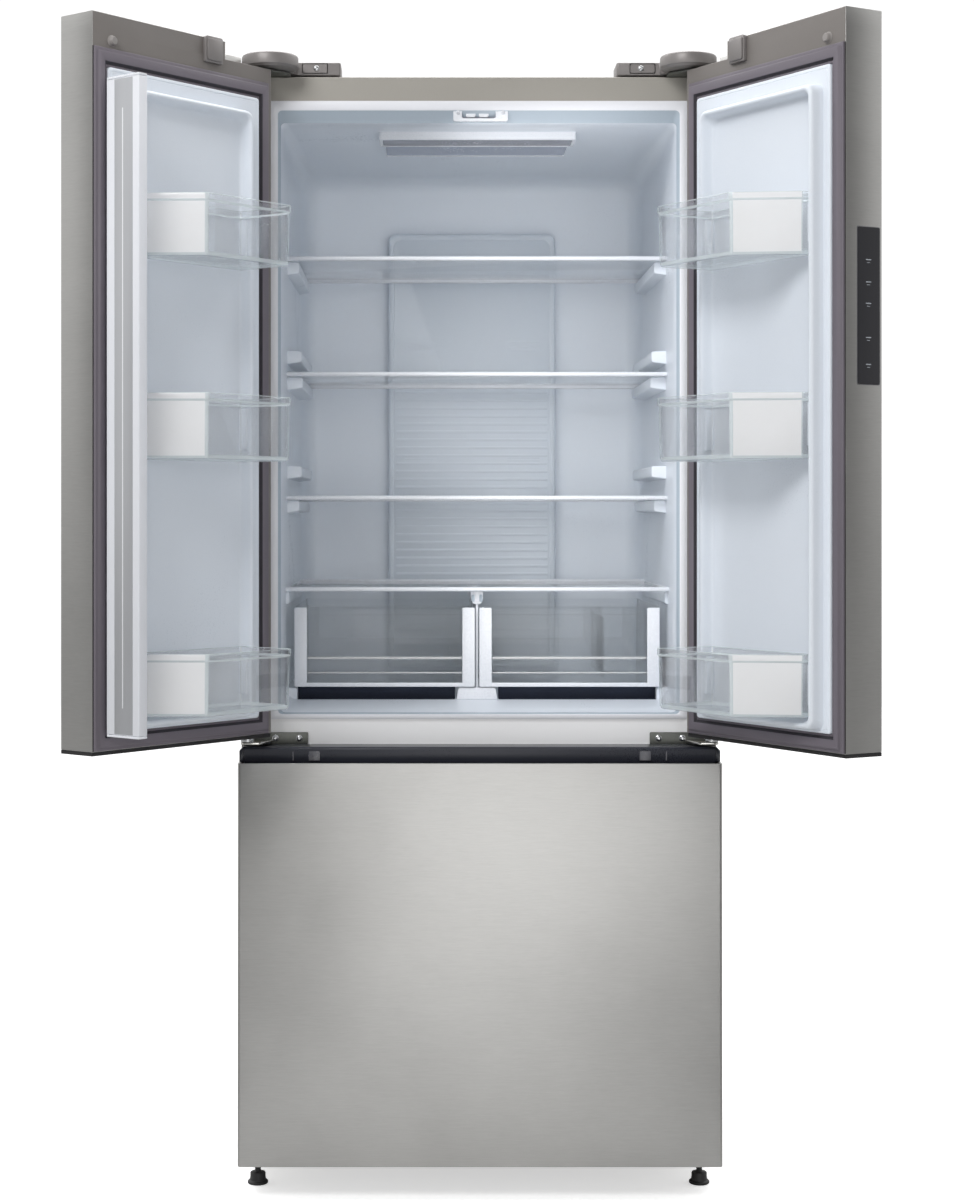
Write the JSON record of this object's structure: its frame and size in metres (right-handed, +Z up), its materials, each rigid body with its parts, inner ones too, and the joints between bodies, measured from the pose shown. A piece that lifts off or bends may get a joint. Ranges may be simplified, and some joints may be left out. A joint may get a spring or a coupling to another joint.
{
  "type": "french door refrigerator",
  "caption": "Tall refrigerator with two side-hinged upper doors standing open on a shelved interior and a pull-out freezer drawer below.",
  "frame": {"origin": "middle of the bounding box's bottom face, with the doors open as stored", "axes": "+Z up, the front faces -Y, +X to the right seen from the front"},
  "size_m": [1.1954, 1.0306, 1.8095],
  "materials": {
    "steel": "satin",
    "greige": "satin",
    "foam": "matte",
    "white_liner": "gloss",
    "white_door_liner": "gloss",
    "white_trim": "satin",
    "clear_plastic": "gloss",
    "shelf_glass": "gloss",
    "charcoal_trim": "gloss",
    "black_panel": "gloss",
    "black_plastic": "matte",
    "hinge_cover": "satin",
    "gasket": "matte",
    "galvanised": "satin",
    "aluminium": "satin",
    "black_enamel": "satin",
    "grey_plastic": "matte"
  },
  "bodies": {
    "cabinet": {"cabinet_shell": "greige", "foam_core": "foam", "fridge_liner": "white_liner", "freezer_liner": "white_liner", "cross_rail": "white_trim", "rear_panel": "galvanised", "base_frame": "galvanised", "machine_cover": "galvanised", "power_inlet": "black_plastic", "compressor": "black_enamel", "condenser": "aluminium", "drain_pan": "grey_plastic", "evaporator": "aluminium", "evaporator_cover": "white_trim", "air_duct_cover": "white_trim", "ceiling_lamp": "white_trim", "mullion_guide": "white_trim", "crisper_cover": "shelf_glass", "crisper_support": "white_trim", "left_top_hinge": "galvanised", "left_hinge_cover": "hinge_cover", "left_middle_hinge": "galvanised", "right_top_hinge": "galvanised", "right_hinge_cover": "hinge_cover", "right_middle_hinge": "galvanised"},
    "left_door": {"left_door_shell": "steel", "left_door_bottom_cap": "black_plastic", "left_door_gasket": "gasket", "left_door_liner": "white_door_liner"},
    "right_door": {"right_door_shell": "steel", "right_door_bottom_cap": "black_plastic", "right_door_gasket": "gasket", "right_door_liner": "white_door_liner", "control_panel": "black_panel"},
    "mullion": {"mullion_flap": "white_trim"},
    "freezer_drawer": {"freezer_drawer_front": "steel", "drawer_grip_trim": "charcoal_trim", "freezer_drawer_gasket": "gasket", "freezer_drawer_liner": "white_door_liner", "left_drawer_rail": "galvanised", "right_drawer_rail": "galvanised", "lower_freezer_basket": "clear_plastic"},
    "freezer_tray": {"upper_freezer_basket": "clear_plastic"},
    "left_crisper_body": {"left_crisper": "clear_plastic"},
    "right_crisper_body": {"right_crisper": "clear_plastic"},
    "upper_shelf_body": {"upper_shelf": "shelf_glass"},
    "middle_shelf_body": {"middle_shelf": "shelf_glass"},
    "lower_shelf_body": {"lower_shelf": "shelf_glass"},
    "left_upper_bin": {"left_upper_door_bin": "clear_plastic"},
    "left_middle_bin": {"left_middle_door_bin": "clear_plastic"},
    "left_lower_bin": {"left_lower_door_bin": "clear_plastic"},
    "right_upper_bin": {"right_upper_door_bin": "clear_plastic"},
    "right_middle_bin": {"right_middle_door_bin": "clear_plastic"},
    "right_lower_bin": {"right_lower_door_bin": "clear_plastic"},
    "left_front_foot_body": {"left_front_foot": "black_plastic"},
    "right_front_foot_body": {"right_front_foot": "black_plastic"},
    "left_rear_roller_body": {"left_rear_roller": "black_plastic"},
    "right_rear_roller_body": {"right_rear_roller": "black_plastic"},
    "condenser_fan_body": {"condenser_fan": "black_plastic"},
    "evaporator_fan_body": {"evaporator_fan": "black_plastic"}
  },
  "joints": [
    {"name": "left_door_swing", "type": "hinge", "parent": "cabinet", "child": "left_door", "pos_m": [-0.34536, -0.15923, 1.268], "axis": [0, 0, -1], "range_deg": [-129, 1]},
    {"name": "right_door_swing", "type": "hinge", "parent": "cabinet", "child": "right_door", "pos_m": [0.38964, -0.15923, 1.268], "axis": [0, 0, 1], "range_deg": [-120, 10]},
    {"name": "mullion_flip", "type": "hinge", "parent": "left_door", "child": "mullion", "pos_m": [-0.51055, -0.46477, 1.23], "axis": [0, 0, 1], "range_deg": [-90, 0]},
    {"name": "freezer_drawer_slide", "type": "slide", "parent": "cabinet", "child": "freezer_drawer", "axis": [0, -1, 0], "range_m": [0, 0.4]},
    {"name": "freezer_tray_slide", "type": "slide", "parent": "freezer_drawer", "child": "freezer_tray", "axis": [0, 1, 0], "range_m": [0, 0.08]},
    {"name": "left_crisper_slide", "type": "slide", "parent": "cabinet", "child": "left_crisper_body", "axis": [0, -1, 0], "range_m": [0, 0.27]},
    {"name": "right_crisper_slide", "type": "slide", "parent": "cabinet", "child": "right_crisper_body", "axis": [0, -1, 0], "range_m": [0, 0.27]},
    {"name": "upper_shelf_slide", "type": "slide", "parent": "cabinet", "child": "upper_shelf_body", "axis": [0, -1, 0], "range_m": [0, 0.16]},
    {"name": "middle_shelf_slide", "type": "slide", "parent": "cabinet", "child": "middle_shelf_body", "axis": [0, -1, 0], "range_m": [0, 0.16]},
    {"name": "lower_shelf_slide", "type": "slide", "parent": "cabinet", "child": "lower_shelf_body", "axis": [0, -1, 0], "range_m": [0, 0.16]},
    {"name": "left_upper_bin_lift", "type": "slide", "parent": "left_door", "child": "left_upper_bin", "axis": [0, 0, 1], "range_m": [0, 0.04]},
    {"name": "left_middle_bin_lift", "type": "slide", "parent": "left_door", "child": "left_middle_bin", "axis": [0, 0, 1], "range_m": [0, 0.04]},
    {"name": "left_lower_bin_lift", "type": "slide", "parent": "left_door", "child": "left_lower_bin", "axis": [0, 0, 1], "range_m": [0, 0.04]},
    {"name": "right_upper_bin_lift", "type": "slide", "parent": "right_door", "child": "right_upper_bin", "axis": [0, 0, 1], "range_m": [0, 0.04]},
    {"name": "right_middle_bin_lift", "type": "slide", "parent": "right_door", "child": "right_middle_bin", "axis": [0, 0, 1], "range_m": [0, 0.04]},
    {"name": "right_lower_bin_lift", "type": "slide", "parent": "right_door", "child": "right_lower_bin", "axis": [0, 0, 1], "range_m": [0, 0.04]},
    {"name": "left_foot_turn", "type": "hinge", "parent": "cabinet", "child": "left_front_foot_body", "pos_m": [-0.33386, -0.09073, 0.02], "axis": [0, 0, 1], "continuous": true},
    {"name": "left_roller_spin", "type": "hinge", "parent": "cabinet", "child": "left_rear_roller_body", "pos_m": [-0.30786, 0.44927, 0.02], "axis": [1, 0, 0], "continuous": true},
    {"name": "right_foot_turn", "type": "hinge", "parent": "cabinet", "child": "right_front_foot_body", "pos_m": [0.37814, -0.09073, 0.02], "axis": [0, 0, 1], "continuous": true},
    {"name": "right_roller_spin", "type": "hinge", "parent": "cabinet", "child": "right_rear_roller_body", "pos_m": [0.35214, 0.44927, 0.02], "axis": [1, 0, 0], "continuous": true},
    {"name": "condenser_fan_spin", "type": "hinge", "parent": "cabinet", "child": "condenser_fan_body", "pos_m": [0.05014, 0.42427, 0.131], "axis": [1, 0, 0], "continuous": true},
    {"name": "evaporator_fan_spin", "type": "hinge", "parent": "cabinet", "child": "evaporator_fan_body", "pos_m": [0.02214, 0.35127, 0.588], "axis": [0, 1, 0], "continuous": true}
  ]
}
